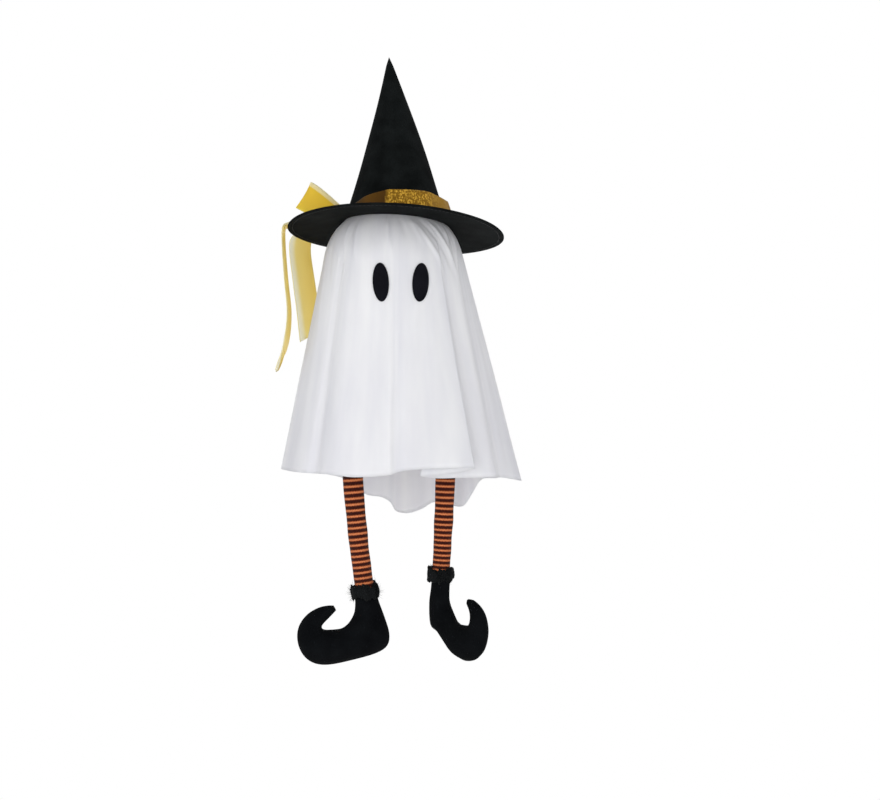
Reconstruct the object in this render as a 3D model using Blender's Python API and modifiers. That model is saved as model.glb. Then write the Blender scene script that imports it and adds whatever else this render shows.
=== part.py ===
"""Witch ghost decoration: a white sheet over a foam head, under a witch's hat.

It hangs from the tip of the hat, and two stuffed striped legs with curled felt
shoes hang from the head inside the sheet. The origin is the tip of the hat, +Z
is up, and the ghost looks along -Y. Left and right are those of someone who
faces it: left is -X and right is +X.
"""

import math

import bmesh
import bpy
from mathutils import Matrix, Vector

MM = 0.001
NAME = "witch_ghost"

# Space between pieces that touch
GAP = 0.3 * MM

# Foam head: a ball whose centre hangs this far from the tip of the hat
HEAD_RADIUS = 67.6 * MM
HEAD_CENTRE = Vector((4.8, -7.6, -211.8)) * MM
HEAD_SEGMENTS = 28

# Sheet: a thin wall that lies on the head, then falls straight to its hem
SHEET_WALL = 1.2 * MM
SHEET_EASE = 0.7 * MM
SHEET_RADIUS = HEAD_RADIUS + SHEET_EASE + SHEET_WALL
HEM_LEFT = 104.5 * MM
HEM_RIGHT = 114.5 * MM
HEM_FRONT = 84 * MM
HEM_BACK = 88 * MM
CAP_RINGS = 7
SKIRT_RINGS = 9
FOLD_STEPS = 3
FOLDS_BEGIN = math.radians(58)
FOLD_AT_HEAD = 0.25
FOLD_GROWTH = 1.3

# Each crest or hollow of a fold: degrees from the front towards the right, how
# far the cloth stands out at the hem, and how far the hem hangs below the head
FOLDS = [
    (-180, 0.0, 243.0),
    (-164, 9.0, 228.0),
    (-149, 1.0, 206.0),
    (-132, 9.0, 201.0),
    (-112, 2.0, 197.0),
    (-90, 8.0, 194.0),
    (-64, 2.0, 194.0),
    (-46, 8.0, 193.5),
    (-40, 2.0, 193.0),
    (-24, 9.0, 192.0),
    (-2, 0.0, 191.0),
    (26, 9.0, 190.5),
    (38, 1.0, 194.0),
    (48, 8.0, 197.0),
    (64, 2.0, 201.0),
    (90, 12.0, 206.0),
    (112, 1.0, 204.0),
    (135, 9.0, 208.0),
    (143, 2.0, 236.0),
    (161, 8.0, 232.0),
]

# Eyes: felt ovals on the sheet, one each side of the middle, tops leaning out
EYE_WIDTH = 15.4 * MM
EYE_HEIGHT = 36.8 * MM
EYE_WALL = 0.8 * MM
EYE_SPACING = 37.5 * MM
EYE_MIDDLE_X = 13.4 * MM
EYE_DROP = 15.9 * MM
EYE_LEAN = math.radians(2.7)
EYE_RINGS = 3
EYE_SEGMENTS = 20

# Hat: tilted back and to the right round the centre of the head
HAT_TILT_BACK = math.radians(7.5)
HAT_ROLL_RIGHT = math.radians(3.2)
HAT_OPENING = 49.6 * MM
HAT_SEAT = math.sqrt((SHEET_RADIUS + GAP) ** 2 - HAT_OPENING ** 2)
HAT_SEGMENTS = 48
BRIM_RADIUS = 106.6 * MM
BRIM_FELT = 2.0 * MM
BRIM_DROOP = 11.0 * MM
BRIM_CURVE = 1.4
BRIM_SHARES = (0.0, 0.3, 0.6, 0.85)
CROWN_FELT = 1.5 * MM
CROWN_BOW = 2.0 * MM
CROWN_FLARE = 1.0 * MM
CROWN_FLARE_HEIGHT = 7 * MM
CROWN_TIP_RADIUS = 0.8 * MM
CROWN_TIP_DEPTH = 9 * MM

# Ribbon: its full width, and the cloth's thickness
RIBBON_WIDTH = 30 * MM
RIBBON_WALL = 0.8 * MM

# Band round the crown: degrees from the front, heights of its lower and upper
# edges above the brim, and how far it stands off the crown
BAND = [
    (-180, 3.0, 15.0, 0.3),
    (-120, 1.5, 9.0, 0.3),
    (-60, 1.0, 7.0, 0.3),
    (-8, 2.5, 18.0, 0.3),
    (46, 6.0, 23.5, 0.3),
    (80, 6.5, 23.0, 3.5),
    (115, 6.0, 21.0, 0.8),
]
BAND_STEPS = 7

# Bow: tied at the back left of the crown, on the brim
KNOT_AZIMUTH = math.radians(-120)
KNOT_SIZE = Vector((13, 11, 12)) * MM
KNOT_BEVEL = 2.5 * MM
KNOT_PINCH = 5 * MM

# Loops of the bow: the way each goes from the knot, the way its width lies and
# the way it bulges
LOOP_LENGTH = 50 * MM
LOOP_BULGE = 4.5 * MM
LOOP_STEPS = 14
LEFT_LOOP = ((-0.87, -0.10, 0.47), (0.51, 0.0, 0.86), (0.0, 1.0, 0.0))
BACK_LOOP = ((0.62, 0.76, 0.28), (-0.12, -0.10, 0.99), (-0.76, 0.62, 0.0))

# Tails of the bow: where each crosses the edge of the brim, the points it hangs
# through from there in millimetres, how its width turns about the vertical on
# the way down, how much of its width is left at its end, and how far the right
# corner of its end is above the middle
WIDE_TAIL_AZIMUTH = math.radians(-118)
WIDE_TAIL_HANG = [(0, 0, 0), (-1, 3, -14), (3, 5, -45), (7, 4, -72), (11, 3, -97)]
WIDE_TAIL_TURN = (math.radians(50), math.radians(40))
WIDE_TAIL_END = (1.0, 7 * MM)
NARROW_TAIL_AZIMUTH = math.radians(-91)
NARROW_TAIL_HANG = [(0, 0, 0), (-0.5, 0, -14), (2, 0, -50), (5, 1, -84), (1.5, 1, -116),
                    (-8, 2, -142)]
NARROW_TAIL_TURN = (math.radians(90), math.radians(84))
NARROW_TAIL_END = (0.1, 0.0)

# Share of a tail's width on each ring of the brim, from the knot outwards, and
# where it bends down over the edge
TAIL_SPREAD = (0.45, 0.8, 1.0, 1.0)
TAIL_BEND = 4.0 * MM
TAIL_BEND_DROP = 0.5 * MM

# Legs: stuffed tubes from the underside of the head to the shoes. The points
# are the hip, the knee that the tube bends towards, and the ankle
LEG_RADIUS = 9.2 * MM
LEG_STEPS = 12
LEFT_LEG = [Vector((-43.0, -7.6, -234.0)) * MM,
            Vector((-41.0, -8.5, -403.0)) * MM,
            Vector((-23.6, -9.5, -524.0)) * MM]
RIGHT_LEG = [Vector((58.5, -7.6, -234.0)) * MM,
             Vector((58.0, -8.5, -400.0)) * MM,
             Vector((51.1, -9.5, -507.5)) * MM]

# Ruffle: a gathered frill where the leg joins the shoe
RUFFLE_WALL = 0.8 * MM
RUFFLE_REACH = 6.0 * MM
RUFFLE_RISE = 4.0 * MM
RUFFLE_FALL = 6.0 * MM
RUFFLE_WAVES = 9
RUFFLE_WAVE = 1.4 * MM
RUFFLE_SEGMENTS = 36

# Shoes: two pieces of felt sewn along their outline and stuffed. Each station
# goes across the shoe, from the ankle round to the tip of the curled toe. It
# has a point on the instep side and a point on the sole side, each as forward
# and down from the ankle, and half of the stuffed thickness, in millimetres
SHOE_SIDES = 10
LEFT_SHOE = [
    (10.6, 0.0, -10.6, 0.0, 7.5),
    (10.8, 9.0, -12.0, 13.0, 8.0),
    (13.2, 20.5, -15.6, 30.0, 9.5),
    (18.7, 28.7, -17.8, 46.0, 12.5),
    (23.6, 32.6, -14.2, 57.5, 14.0),
    (28.3, 34.5, -2.0, 63.5, 14.5),
    (34.4, 34.6, 22.0, 66.8, 15.0),
    (39.4, 34.2, 44.0, 68.1, 15.0),
    (43.2, 33.7, 58.0, 65.2, 14.5),
    (46.0, 32.6, 67.4, 57.5, 13.5),
    (46.9, 31.0, 72.0, 46.0, 12.5),
    (46.3, 29.1, 71.8, 34.0, 11.0),
    (44.2, 26.9, 67.4, 24.0, 9.5),
    (40.4, 24.0, 58.6, 15.8, 8.0),
    (36.0, 20.6, 47.6, 11.3, 6.0),
    (32.6, 17.9, 38.4, 10.5, 4.0),
    (30.6, 16.2, 32.5, 11.3, 1.4),
]
RIGHT_SHOE = [
    (12.0, 0.0, -10.9, 0.0, 7.5),
    (12.1, 15.3, -10.8, 16.3, 8.0),
    (13.3, 28.0, -11.1, 31.1, 9.5),
    (21.1, 42.0, -5.2, 52.1, 13.5),
    (23.3, 44.9, 6.9, 58.6, 14.5),
    (28.9, 46.4, 17.8, 68.3, 15.0),
    (35.2, 46.6, 27.9, 77.0, 15.0),
    (39.6, 46.4, 39.9, 80.4, 14.5),
    (42.8, 45.6, 51.6, 78.4, 13.5),
    (44.9, 43.2, 59.3, 73.4, 12.0),
    (45.8, 40.0, 64.4, 63.8, 10.5),
    (45.7, 36.3, 66.3, 51.5, 9.5),
    (43.9, 32.5, 64.2, 38.7, 8.0),
    (41.4, 29.6, 58.4, 28.7, 6.5),
    (37.9, 26.0, 48.6, 21.7, 4.0),
    (38.6, 23.0, 39.6, 21.0, 1.4),
]
LEFT_TOE = math.radians(-90)
RIGHT_TOE = math.radians(45)

# Colours and roughness of the cloths, as linear red, green and blue
FINISHES = {
    "foam": ((0.87, 0.87, 0.85), 0.8),
    "sheet_cloth": ((0.82, 0.81, 0.83), 0.55),
    "eye_felt": ((0.010, 0.010, 0.012), 0.9),
    "hat_felt": ((0.009, 0.009, 0.010), 0.85),
    "gold_ribbon": ((0.45, 0.27, 0.03), 0.45),
    "yellow_ribbon": ((0.74, 0.53, 0.09), 0.5),
    "striped_knit": ((0.45, 0.16, 0.07), 0.8),
    "shoe_felt": ((0.008, 0.008, 0.010), 0.9),
    "tulle": ((0.010, 0.010, 0.010), 0.8),
}

HAT_FRAME = (
    Matrix.Translation(HEAD_CENTRE)
    @ Matrix.Rotation(HAT_ROLL_RIGHT, 4, "Y")
    @ Matrix.Rotation(-HAT_TILT_BACK, 4, "X")
)


def clear_scene():
    """Remove every object, so that the script can run again."""
    for item in list(bpy.data.objects):
        bpy.data.objects.remove(item, do_unlink=True)


def new_collection(name):
    """Add a collection to the scene."""
    collection = bpy.data.collections.new(name)
    bpy.context.scene.collection.children.link(collection)
    return collection


def finish(name):
    """Return the material of that name, made the first time it is asked for."""
    material = bpy.data.materials.get(name)
    if material is None:
        colour, roughness = FINISHES[name]
        material = bpy.data.materials.new(name)
        material.use_nodes = True
        shader = material.node_tree.nodes["Principled BSDF"]
        shader.inputs["Base Color"].default_value = (*colour, 1.0)
        shader.inputs["Roughness"].default_value = roughness
        shader.inputs["Metallic"].default_value = 0.0
        material.diffuse_color = (*colour, 1.0)
    return material


def add_mesh(name, bm, collection, material=None, matrix=None):
    """Turn a bmesh into an object, smooth where it is round."""
    mesh = bpy.data.meshes.new(name)
    bm.to_mesh(mesh)
    bm.free()
    mesh.shade_smooth()
    mesh.set_sharp_from_angle(angle=math.radians(40))
    item = bpy.data.objects.new(name, mesh)
    collection.objects.link(item)
    if material:
        mesh.materials.append(finish(material))
    if matrix:
        item.matrix_world = matrix
    return item


def hide_cutter(item):
    """Show a cutter as wire and keep it out of renders."""
    item.hide_render = True
    item.display_type = "WIRE"


def solidify(item, thickness, offset):
    """Give an open surface its wall."""
    wall = item.modifiers.new("wall", "SOLIDIFY")
    wall.thickness = thickness
    wall.offset = offset
    wall.use_even_offset = True
    wall.use_quality_normals = True
    return wall


def boolean(item, operation, other):
    """Cut an object by another, or join it with another."""
    step = item.modifiers.new(operation.lower(), "BOOLEAN")
    step.operation = operation
    step.solver = "EXACT"
    step.object = other


def spun(profile, segments, closed=False):
    """Turn a profile of radius and height round the Z axis."""
    bm = bmesh.new()
    points = [bm.verts.new((radius, 0.0, height)) for radius, height in profile]
    pairs = list(zip(points, points[1:]))
    if closed:
        pairs.append((points[-1], points[0]))
    edges = [bm.edges.new(pair) for pair in pairs]
    bmesh.ops.spin(
        bm, geom=points + edges, cent=(0, 0, 0), axis=(0, 0, 1),
        angle=math.tau, steps=segments, use_merge=True,
    )
    bmesh.ops.remove_doubles(bm, verts=bm.verts, dist=0.001 * MM)
    bmesh.ops.recalc_face_normals(bm, faces=bm.faces)
    return bm


def face_out(bm):
    """Make an open surface round the Z axis face away from the axis."""
    bmesh.ops.recalc_face_normals(bm, faces=bm.faces)
    if sum(face.normal.dot(face.calc_center_median()) for face in bm.faces) < 0:
        bmesh.ops.reverse_faces(bm, faces=bm.faces)


def eased(table, degrees):
    """Read a round table of knots at an angle, with a soft turn at each knot."""
    for first, second in zip(table, table[1:] + [(table[0][0] + 360, *table[0][1:])]):
        if first[0] <= degrees <= second[0]:
            share = (degrees - first[0]) / (second[0] - first[0])
            soft = (1 - math.cos(math.pi * share)) / 2
            return [a + (b - a) * soft for a, b in zip(first[1:], second[1:])]
    raise ValueError("angle outside the table")


def knot_angles(table, steps):
    """List the angles of a round table's knots, with steps between them."""
    ends = [row[0] for row in table] + [table[0][0] + 360]
    angles = []
    for first, second in zip(ends, ends[1:]):
        angles += [first + (second - first) * step / steps for step in range(steps)]
    return angles


def smoothstep(value):
    """Rise softly from 0 to 1."""
    value = min(max(value, 0.0), 1.0)
    return value * value * (3 - 2 * value)


def sheet_point(degrees, ring):
    """Place a point of the sheet's outer face, on one column and ring.

    A column is a plane through the head's axis. The cloth follows the head down
    to the point where a straight line to the hem touches it.
    """
    stand_out, hem_drop = (value * MM for value in eased(FOLDS, degrees))
    turn = math.radians(degrees)
    side = HEM_RIGHT if turn > 0 else HEM_LEFT
    ahead = HEM_FRONT if abs(degrees) < 90 else HEM_BACK
    hem = Vector((side * math.sin(turn), -ahead * math.cos(turn)))
    outwards = hem.normalized()
    reach = hem.length
    slope = math.asin(SHEET_RADIUS / math.hypot(reach, hem_drop))
    flare = math.atan2(reach, hem_drop) - slope
    leave = math.pi / 2 - flare
    if ring <= CAP_RINGS:
        polar = leave * ring / CAP_RINGS
        radius = SHEET_RADIUS * math.sin(polar)
        height = SHEET_RADIUS * math.cos(polar)
        fold = FOLD_AT_HEAD * smoothstep((polar - FOLDS_BEGIN) / (leave - FOLDS_BEGIN))
    else:
        share = (ring - CAP_RINGS) / SKIRT_RINGS
        start_radius = SHEET_RADIUS * math.sin(leave)
        start_height = SHEET_RADIUS * math.cos(leave)
        radius = start_radius + (reach - start_radius) * share
        height = start_height - (hem_drop + start_height) * share
        fold = FOLD_AT_HEAD + (1 - FOLD_AT_HEAD) * share ** FOLD_GROWTH
    radius += stand_out * fold
    return Vector((*(outwards * radius), height))


def make_ball(name, radius, collection, material=None):
    """Ball round the centre of the head."""
    bm = bmesh.new()
    bmesh.ops.create_uvsphere(bm, u_segments=HEAD_SEGMENTS, v_segments=HEAD_SEGMENTS // 2,
                              radius=radius)
    return add_mesh(name, bm, collection, material, Matrix.Translation(HEAD_CENTRE))


def make_sheet(collection):
    """White cloth: a round disc of cells, each moved to where the cloth hangs."""
    columns = knot_angles(FOLDS, FOLD_STEPS)
    rings = CAP_RINGS + SKIRT_RINGS
    bm = spun([(ring, 0.0) for ring in range(rings + 1)], len(columns))
    for point in bm.verts:
        ring = round(point.co.length)
        turn = math.atan2(point.co.y, point.co.x) % math.tau
        column = round(turn * len(columns) / math.tau) % len(columns)
        point.co = sheet_point(columns[column], ring)
    face_out(bm)
    sheet = add_mesh("ghost_sheet", bm, collection, "sheet_cloth",
                     Matrix.Translation(HEAD_CENTRE))
    solidify(sheet, SHEET_WALL, -1)
    return sheet


def make_eye(name, side, sheet, collection):
    """Felt oval, laid on the front of the sheet."""
    bm = spun([(ring / EYE_RINGS / 2, 0.0) for ring in range(EYE_RINGS + 1)], EYE_SEGMENTS)
    bmesh.ops.scale(bm, verts=bm.verts, vec=(EYE_WIDTH, EYE_HEIGHT, 1))
    face_forward = (
        Matrix.Rotation(side * EYE_LEAN, 4, "Y") @ Matrix.Rotation(math.pi / 2, 4, "X")
    )
    bmesh.ops.transform(bm, matrix=face_forward, verts=bm.verts)
    place = Vector((EYE_MIDDLE_X + side * EYE_SPACING / 2,
                    HEAD_CENTRE.y - 2 * HEAD_RADIUS,
                    HEAD_CENTRE.z - EYE_DROP))
    bmesh.ops.translate(bm, verts=bm.verts, vec=place)
    for face in bm.faces:
        face.normal_update()
        if face.normal.y > 0:
            face.normal_flip()
    eye = add_mesh(name, bm, collection, "eye_felt")
    lay = eye.modifiers.new("lay_on_sheet", "SHRINKWRAP")
    lay.target = sheet
    lay.wrap_method = "PROJECT"
    lay.use_project_y = True
    lay.use_positive_direction = True
    lay.use_negative_direction = False
    lay.offset = GAP
    solidify(eye, EYE_WALL, 1)
    return eye


def brim_height(radius):
    """Height of the brim's underside above the head's centre."""
    share = (radius - HAT_OPENING) / (BRIM_RADIUS - HAT_OPENING)
    return HAT_SEAT - BRIM_DROOP * max(share, 0.0) ** BRIM_CURVE


CROWN_BASE = HAT_SEAT + BRIM_FELT + GAP
CROWN_BASE_RADIUS = HAT_OPENING + CROWN_FELT
TIP = HAT_FRAME.inverted() @ Vector((0, 0, 0))
CROWN_HEIGHT = TIP.z - CROWN_BASE


def crown_radius(height):
    """Outer radius of the crown at a height above its base."""
    share = 1 - height / CROWN_HEIGHT
    flare = CROWN_FLARE * (1 - smoothstep(height / CROWN_FLARE_HEIGHT))
    return CROWN_TIP_RADIUS + (CROWN_BASE_RADIUS - CROWN_TIP_RADIUS) * share + flare


def lean(bm):
    """Lean and bow what stands on the brim, with the crown's tip at the origin."""
    for point in bm.verts:
        share = (point.co.z - CROWN_BASE) / CROWN_HEIGHT
        point.co.x += TIP.x * share + CROWN_BOW * math.sin(math.pi * share)
        point.co.y += TIP.y * share


def hat_point(azimuth, radius, height):
    """Place a point of the hat in the world, from its own round coordinates."""
    local = Vector((radius * math.sin(azimuth), -radius * math.cos(azimuth), height))
    return HAT_FRAME @ local


def brim_radii():
    """List the radii of the brim's rings, from its opening to its edge."""
    edge = BRIM_RADIUS - BRIM_FELT / 2
    return [HAT_OPENING + (edge - HAT_OPENING) * share for share in (*BRIM_SHARES, 1.0)]


def make_brim(collection):
    """Felt ring with a drooping edge, pushed down on the head."""
    radii = brim_radii()
    top = [(radius, brim_height(radius) + BRIM_FELT) for radius in radii]
    rim = [(BRIM_RADIUS, brim_height(BRIM_RADIUS) + BRIM_FELT / 2)]
    under = [(radius, brim_height(radius)) for radius in reversed(radii)]
    bm = spun(top + rim + under, HAT_SEGMENTS, closed=True)
    return add_mesh("hat_brim", bm, collection, "hat_felt", HAT_FRAME)


def make_crown(collection):
    """Hollow felt cone, sewn to the brim and leaning to its tip."""
    heights = [0.0, CROWN_FLARE_HEIGHT / 2, CROWN_FLARE_HEIGHT]
    heights += [CROWN_HEIGHT * share for share in (0.25, 0.5, 0.75)]
    outer = [(crown_radius(height), CROWN_BASE + height) for height in heights]
    outer.append((CROWN_TIP_RADIUS, CROWN_BASE + CROWN_HEIGHT - CROWN_TIP_RADIUS))
    outer.append((0.0, CROWN_BASE + CROWN_HEIGHT))
    inner = [(crown_radius(height) - CROWN_FELT, CROWN_BASE + height) for height in heights]
    inner.append((0.0, CROWN_BASE + CROWN_HEIGHT - CROWN_TIP_DEPTH))
    bm = spun(outer[::-1] + inner, HAT_SEGMENTS)
    lean(bm)
    return add_mesh("hat_crown", bm, collection, "hat_felt", HAT_FRAME)


def make_band(collection):
    """Ribbon wrapped round the foot of the crown, higher at its front right."""
    angles = knot_angles(BAND, BAND_STEPS)
    bm = spun([(1.0, 0.0), (1.0, 1.0)], len(angles))
    for point in bm.verts:
        turn = math.atan2(point.co.y, point.co.x) % math.tau
        degrees = angles[round(turn * len(angles) / math.tau) % len(angles)]
        low, high, stand_off = (value * MM for value in eased(BAND, degrees))
        height = high if point.co.z > 0.5 else low
        radius = crown_radius(height) + GAP + stand_off
        azimuth = math.radians(degrees)
        point.co = (radius * math.sin(azimuth), -radius * math.cos(azimuth),
                    CROWN_BASE + height)
    face_out(bm)
    lean(bm)
    band = add_mesh("ribbon_band", bm, collection, "gold_ribbon", HAT_FRAME)
    solidify(band, RIBBON_WALL, 1)
    return band


def make_strip(name, stations, collection, closed=False):
    """Ribbon through stations, each with a middle and half of its width."""
    bm = bmesh.new()
    rows = [(bm.verts.new(middle - half), bm.verts.new(middle + half))
            for middle, half in stations]
    pairs = list(zip(rows, rows[1:]))
    if closed:
        pairs.append((rows[-1], rows[0]))
    for first, second in pairs:
        bm.faces.new((first[0], first[1], second[1], second[0]))
    bmesh.ops.recalc_face_normals(bm, faces=bm.faces)
    strip = add_mesh(name, bm, collection)
    solidify(strip, RIBBON_WALL, 0)
    hide_cutter(strip)
    return strip


def loop_stations(knot, loop):
    """Stations of a flat loop that starts and ends in the knot."""
    way, wide, out = (Vector(value).normalized() for value in loop)
    stations = []
    for step in range(LOOP_STEPS):
        turn = math.tau * step / LOOP_STEPS
        share = (1 - math.cos(turn)) / 2
        middle = knot + way * (LOOP_LENGTH * share) + out * (LOOP_BULGE * math.sin(turn))
        half = KNOT_PINCH + (RIBBON_WIDTH / 2 - KNOT_PINCH) * smoothstep(share)
        stations.append((middle, wide * half))
    return stations


def tail_stations(knot, azimuth, hang, turns, end):
    """Stations of a tail that crosses the brim, bends over its edge and hangs."""
    lift = BRIM_FELT + GAP + RIBBON_WALL / 2
    tangent = HAT_FRAME.to_3x3() @ Vector((-math.cos(azimuth), -math.sin(azimuth), 0))
    full = RIBBON_WIDTH / 2
    stations = [(knot, tangent * KNOT_PINCH)]
    for radius, share in zip(brim_radii()[1:], TAIL_SPREAD):
        place = hat_point(azimuth, radius, brim_height(radius) + lift)
        stations.append((place, tangent * (share * full)))
    edge = hat_point(azimuth, BRIM_RADIUS + TAIL_BEND,
                     brim_height(BRIM_RADIUS) - TAIL_BEND_DROP)
    for index, step in enumerate(hang):
        turn = turns[0] + (turns[1] - turns[0]) * index / (len(hang) - 1)
        wide = Vector((math.cos(turn), math.sin(turn), 0))
        stations.append((edge + Vector(step) * MM, wide * full))
    end_share, end_rise = end
    stations[-1] = (stations[-1][0], wide * (end_share * full) + Vector((0, 0, end_rise)))
    return stations


def make_bow(collection, cutters):
    """Bow: knot, two loops and two tails, joined into one ribbon."""
    away = crown_radius(0) + 2 * GAP + 2 * RIBBON_WALL + KNOT_SIZE.y / 2
    height = HAT_SEAT + BRIM_FELT + 2 * GAP + KNOT_SIZE.z / 2
    centre = hat_point(KNOT_AZIMUTH, away, height)
    turn = Matrix.Rotation(KNOT_AZIMUTH, 4, "Z")
    bm = bmesh.new()
    bmesh.ops.create_cube(bm, size=1.0)
    bmesh.ops.scale(bm, verts=bm.verts, vec=KNOT_SIZE)
    bmesh.ops.bevel(bm, geom=bm.edges, offset=KNOT_BEVEL, segments=2, affect="EDGES",
                    profile=0.5, material=-1)
    place = Matrix.Translation(centre) @ HAT_FRAME.to_3x3().to_4x4() @ turn
    bow = add_mesh("ribbon_bow", bm, collection, "yellow_ribbon", place)

    wide_tail = tail_stations(centre, WIDE_TAIL_AZIMUTH, WIDE_TAIL_HANG,
                              WIDE_TAIL_TURN, WIDE_TAIL_END)
    narrow_tail = tail_stations(centre, NARROW_TAIL_AZIMUTH, NARROW_TAIL_HANG,
                                NARROW_TAIL_TURN, NARROW_TAIL_END)
    parts = [
        make_strip("left_loop", loop_stations(centre, LEFT_LOOP), cutters, closed=True),
        make_strip("back_loop", loop_stations(centre, BACK_LOOP), cutters, closed=True),
        make_strip("wide_tail", wide_tail, cutters),
        make_strip("narrow_tail", narrow_tail, cutters),
    ]
    for part in parts:
        boolean(bow, "UNION", part)
    return bow


def leg_frame(route, toe):
    """Frame at the ankle: +X to the toe, +Z up along the leg."""
    up = (route[1] - route[2]).normalized()
    toe_way = Vector((math.sin(toe), -math.cos(toe), 0))
    forward = (toe_way - up * toe_way.dot(up)).normalized()
    side = up.cross(forward)
    frame = Matrix((forward, side, up)).transposed().to_4x4()
    frame.translation = route[2]
    return frame


def make_leg(name, route, collection, cutters):
    """Stuffed tube, trimmed where its upper end meets the head."""
    hip, knee, ankle = route
    curve = bpy.data.curves.new(name, "CURVE")
    curve.dimensions = "3D"
    curve.bevel_depth = LEG_RADIUS
    curve.bevel_resolution = 4
    curve.use_fill_caps = True
    spline = curve.splines.new("POLY")
    spline.points.add(LEG_STEPS)
    for index, point in enumerate(spline.points):
        share = index / LEG_STEPS
        place = hip.lerp(knee, share).lerp(knee.lerp(ankle, share), share)
        point.co = (*place, 1)
    tube = bpy.data.objects.new(name, curve)
    collection.objects.link(tube)
    bpy.context.view_layer.update()
    evaluated = tube.evaluated_get(bpy.context.evaluated_depsgraph_get())
    mesh = bpy.data.meshes.new_from_object(evaluated)
    bm = bmesh.new()
    bm.from_mesh(mesh)
    bpy.data.objects.remove(tube)
    bmesh.ops.remove_doubles(bm, verts=bm.verts, dist=0.001 * MM)
    bmesh.ops.recalc_face_normals(bm, faces=bm.faces)
    leg = add_mesh(name, bm, collection, "striped_knit")
    boolean(leg, "DIFFERENCE", cutters.objects["head_space"])
    return leg


def make_ruffle(name, frame, collection):
    """Gathered frill round the ankle, standing out over the shoe's top."""
    inner = LEG_RADIUS + GAP + RUFFLE_WALL / 2
    profile = [
        (inner, RUFFLE_RISE),
        (inner + 0.35 * RUFFLE_REACH, 0.8 * RUFFLE_RISE),
        (inner + 0.8 * RUFFLE_REACH, 0.0),
        (inner + RUFFLE_REACH, -RUFFLE_FALL),
    ]
    bm = spun(profile, RUFFLE_SEGMENTS)
    for point in bm.verts:
        radius = point.co.xy.length
        share = (radius - inner) / RUFFLE_REACH
        wave = math.sin(RUFFLE_WAVES * math.atan2(point.co.y, point.co.x))
        swell = 1 + RUFFLE_WAVE * wave * share / radius
        point.co.x *= swell
        point.co.y *= swell
        point.co.z += RUFFLE_WAVE * wave * share
    ruffle = add_mesh(name, bm, collection, "tulle", frame)
    solidify(ruffle, RUFFLE_WALL, 0)
    return ruffle


def make_shoe(name, stations, frame, collection):
    """Stuffed shoe: an oval ring at each station, bridged to the next."""
    bm = bmesh.new()
    loops = []
    for instep_x, instep_down, sole_x, sole_down, half in stations:
        instep = Vector((instep_x, 0, -instep_down)) * MM
        sole = Vector((sole_x, 0, -sole_down)) * MM
        across = (sole - instep) / 2
        ring = bmesh.ops.create_circle(bm, segments=SHOE_SIDES, radius=1.0)["verts"]
        side = Vector((0, half * MM, 0))
        middle = (instep + sole) / 2
        for point in ring:
            point.co = middle + across * point.co.x + side * point.co.y
        loops.append(list({edge for point in ring for edge in point.link_edges}))
    bmesh.ops.contextual_create(bm, geom=loops[0])
    bmesh.ops.contextual_create(bm, geom=loops[-1])
    for first, second in zip(loops, loops[1:]):
        bmesh.ops.bridge_loops(bm, edges=first + second)
    bmesh.ops.translate(bm, verts=bm.verts, vec=(0, 0, -GAP))
    bmesh.ops.recalc_face_normals(bm, faces=bm.faces)
    return add_mesh(name, bm, collection, "shoe_felt", frame)


def main():
    clear_scene()
    pieces = new_collection(NAME)
    cutters = new_collection("cutters")

    make_ball("head_ball", HEAD_RADIUS, pieces, "foam")
    hide_cutter(make_ball("head_space", HEAD_RADIUS + GAP, cutters))
    sheet = make_sheet(pieces)
    make_eye("eye_left", -1, sheet, pieces)
    make_eye("eye_right", 1, sheet, pieces)
    make_brim(pieces)
    make_crown(pieces)
    make_band(pieces)
    make_bow(pieces, cutters)

    legs = (
        ("left", LEFT_LEG, LEFT_TOE, LEFT_SHOE),
        ("right", RIGHT_LEG, RIGHT_TOE, RIGHT_SHOE),
    )
    for side, route, toe, stations in legs:
        frame = leg_frame(route, toe)
        make_leg("leg_" + side, route, pieces, cutters)
        make_ruffle("ruffle_" + side, frame, pieces)
        make_shoe("shoe_" + side, stations, frame, pieces)


main()
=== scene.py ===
"""Looks of a witch ghost decoration: white cloth over a foam ball, a felt hat with
a ribbon, and stuffed striped legs in curled felt shoes. Metres, +Z up, and the
origin is the tip of the hat. Left and right are those of someone who faces it."""

import math

import bmesh
import bpy
from mathutils import Matrix, Vector, noise
from mathutils.bvhtree import BVHTree


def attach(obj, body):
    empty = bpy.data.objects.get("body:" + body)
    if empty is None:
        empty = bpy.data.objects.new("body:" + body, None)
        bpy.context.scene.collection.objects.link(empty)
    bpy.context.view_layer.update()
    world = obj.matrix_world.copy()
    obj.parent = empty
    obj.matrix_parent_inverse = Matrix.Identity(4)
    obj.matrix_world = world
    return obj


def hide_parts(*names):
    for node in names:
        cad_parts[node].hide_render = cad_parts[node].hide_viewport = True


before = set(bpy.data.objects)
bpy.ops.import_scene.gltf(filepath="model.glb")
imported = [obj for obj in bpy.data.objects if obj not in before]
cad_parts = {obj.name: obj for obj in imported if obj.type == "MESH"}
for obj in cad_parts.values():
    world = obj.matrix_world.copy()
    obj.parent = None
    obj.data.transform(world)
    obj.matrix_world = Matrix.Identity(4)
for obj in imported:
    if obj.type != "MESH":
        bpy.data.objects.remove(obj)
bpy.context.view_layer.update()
MM = 0.001

# Head: a ball of expanded polystyrene, moulded white beads fused by steam. The
# sheet hides it except from below, where its bead pattern shows.
HEAD = Vector((4.8, -7.6, -211.8)) * MM
HEAD_RADIUS = 67.6 * MM


def linear(code):
    """Turn an sRGB hex colour into linear red, green, blue and alpha."""
    channels = [int(code[place:place + 2], 16) / 255 for place in (0, 2, 4)]
    return [c / 12.92 if c <= 0.04045 else ((c + 0.055) / 1.055) ** 2.4 for c in channels] + [1.0]


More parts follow.
